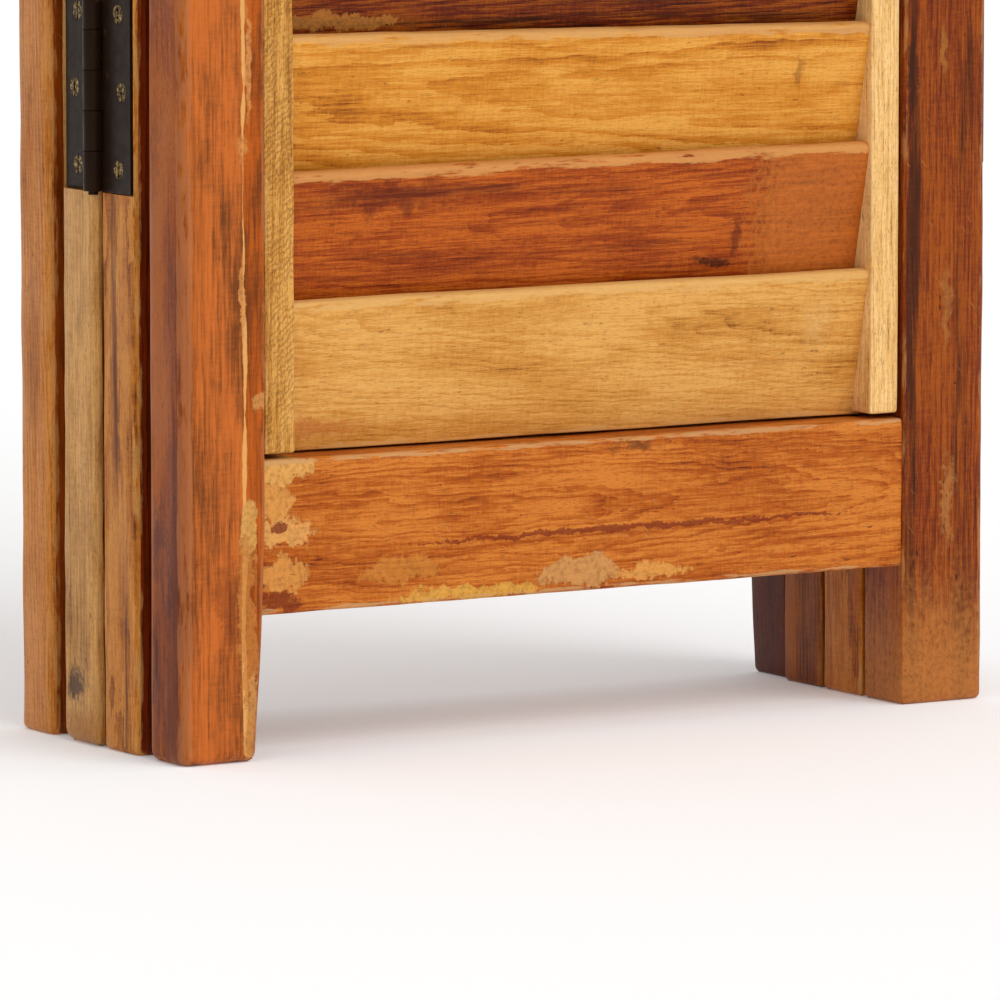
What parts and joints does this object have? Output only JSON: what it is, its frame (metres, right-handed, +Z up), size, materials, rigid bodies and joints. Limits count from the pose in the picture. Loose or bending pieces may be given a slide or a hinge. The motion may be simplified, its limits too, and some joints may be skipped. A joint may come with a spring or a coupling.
{
  "type": "folding room divider screen",
  "caption": "Free-standing folding screen of louvred wooden leaves joined by butt hinges, stored folded in a zigzag.",
  "frame": {"origin": "middle of the folded screen's footprint, on the floor", "axes": "+Z up along the leaves' height, X along the leaves' width, +Y from the front leaf to the rear leaf"},
  "size_m": [0.4396, 0.151, 1.7],
  "materials": {
    "stile_wood_1": "red-brown reclaimed hardwood under satin lacquer",
    "stile_wood_2": "ochre reclaimed hardwood under satin lacquer",
    "stile_wood_3": "grey-tan reclaimed hardwood under satin lacquer",
    "stile_wood_4": "tan reclaimed hardwood under satin lacquer",
    "rail_wood": "orange-brown reclaimed hardwood under satin lacquer, with filler patches",
    "strip_wood": "coarse pale hardwood under satin lacquer",
    "slat_wood": "mixed reclaimed hardwood slats under satin lacquer",
    "hinge_iron": "black, worn, half gloss",
    "screw_steel": "black, worn to brown on the heads"
  },
  "bodies": {
    "leaf_1": {"hinge_1_2_front_screws": "screw_steel", "hinge_1_2_high_front_plate": "hinge_iron", "hinge_1_2_low_front_plate": "hinge_iron", "hinge_1_2_mid_front_plate": "hinge_iron", "leaf_1_bottom_rail": "rail_wood", "leaf_1_left_slat_strip": "strip_wood", "leaf_1_left_stile": "stile_wood_1", "leaf_1_right_slat_strip": "strip_wood", "leaf_1_right_stile": "stile_wood_1", "leaf_1_slats": "slat_wood", "leaf_1_top_rail": "rail_wood"},
    "leaf_2": {"hinge_1_2_high_rear_plate": "hinge_iron", "hinge_1_2_low_rear_plate": "hinge_iron", "hinge_1_2_mid_rear_plate": "hinge_iron", "hinge_1_2_pins": "hinge_iron", "hinge_1_2_rear_screws": "screw_steel", "hinge_2_3_front_screws": "screw_steel", "hinge_2_3_high_front_plate": "hinge_iron", "hinge_2_3_low_front_plate": "hinge_iron", "hinge_2_3_mid_front_plate": "hinge_iron", "hinge_2_3_pins": "hinge_iron", "leaf_2_bottom_rail": "rail_wood", "leaf_2_left_slat_strip": "strip_wood", "leaf_2_left_stile": "stile_wood_2", "leaf_2_right_slat_strip": "strip_wood", "leaf_2_right_stile": "stile_wood_2", "leaf_2_slats": "slat_wood", "leaf_2_top_rail": "rail_wood"},
    "leaf_3": {"hinge_2_3_high_rear_plate": "hinge_iron", "hinge_2_3_low_rear_plate": "hinge_iron", "hinge_2_3_mid_rear_plate": "hinge_iron", "hinge_2_3_rear_screws": "screw_steel", "hinge_3_4_front_screws": "screw_steel", "hinge_3_4_high_front_plate": "hinge_iron", "hinge_3_4_low_front_plate": "hinge_iron", "hinge_3_4_mid_front_plate": "hinge_iron", "leaf_3_bottom_rail": "rail_wood", "leaf_3_left_slat_strip": "strip_wood", "leaf_3_left_stile": "stile_wood_3", "leaf_3_right_slat_strip": "strip_wood", "leaf_3_right_stile": "stile_wood_3", "leaf_3_slats": "slat_wood", "leaf_3_top_rail": "rail_wood"},
    "leaf_4": {"hinge_3_4_high_rear_plate": "hinge_iron", "hinge_3_4_low_rear_plate": "hinge_iron", "hinge_3_4_mid_rear_plate": "hinge_iron", "hinge_3_4_pins": "hinge_iron", "hinge_3_4_rear_screws": "screw_steel", "leaf_4_bottom_rail": "rail_wood", "leaf_4_left_slat_strip": "strip_wood", "leaf_4_left_stile": "stile_wood_4", "leaf_4_right_slat_strip": "strip_wood", "leaf_4_right_stile": "stile_wood_4", "leaf_4_slats": "slat_wood", "leaf_4_top_rail": "rail_wood"}
  },
  "joints": [
    {"name": "front_hinges", "type": "hinge", "parent": "leaf_1", "child": "leaf_2", "pos_m": [0.21413, -0.04296, 0.85], "axis": [0, 0, -1], "range_deg": [-1.1, 178.9]},
    {"name": "middle_hinges", "type": "hinge", "parent": "leaf_2", "child": "leaf_3", "pos_m": [-0.21536, -0.00171, 0.85], "axis": [0, 0, 1], "range_deg": [-0.1, 179.9]},
    {"name": "rear_hinges", "type": "hinge", "parent": "leaf_3", "child": "leaf_4", "pos_m": [0.21536, 0.02378, 0.85], "axis": [0, 0, -1], "range_deg": [-1.6, 178.4]}
  ]
}
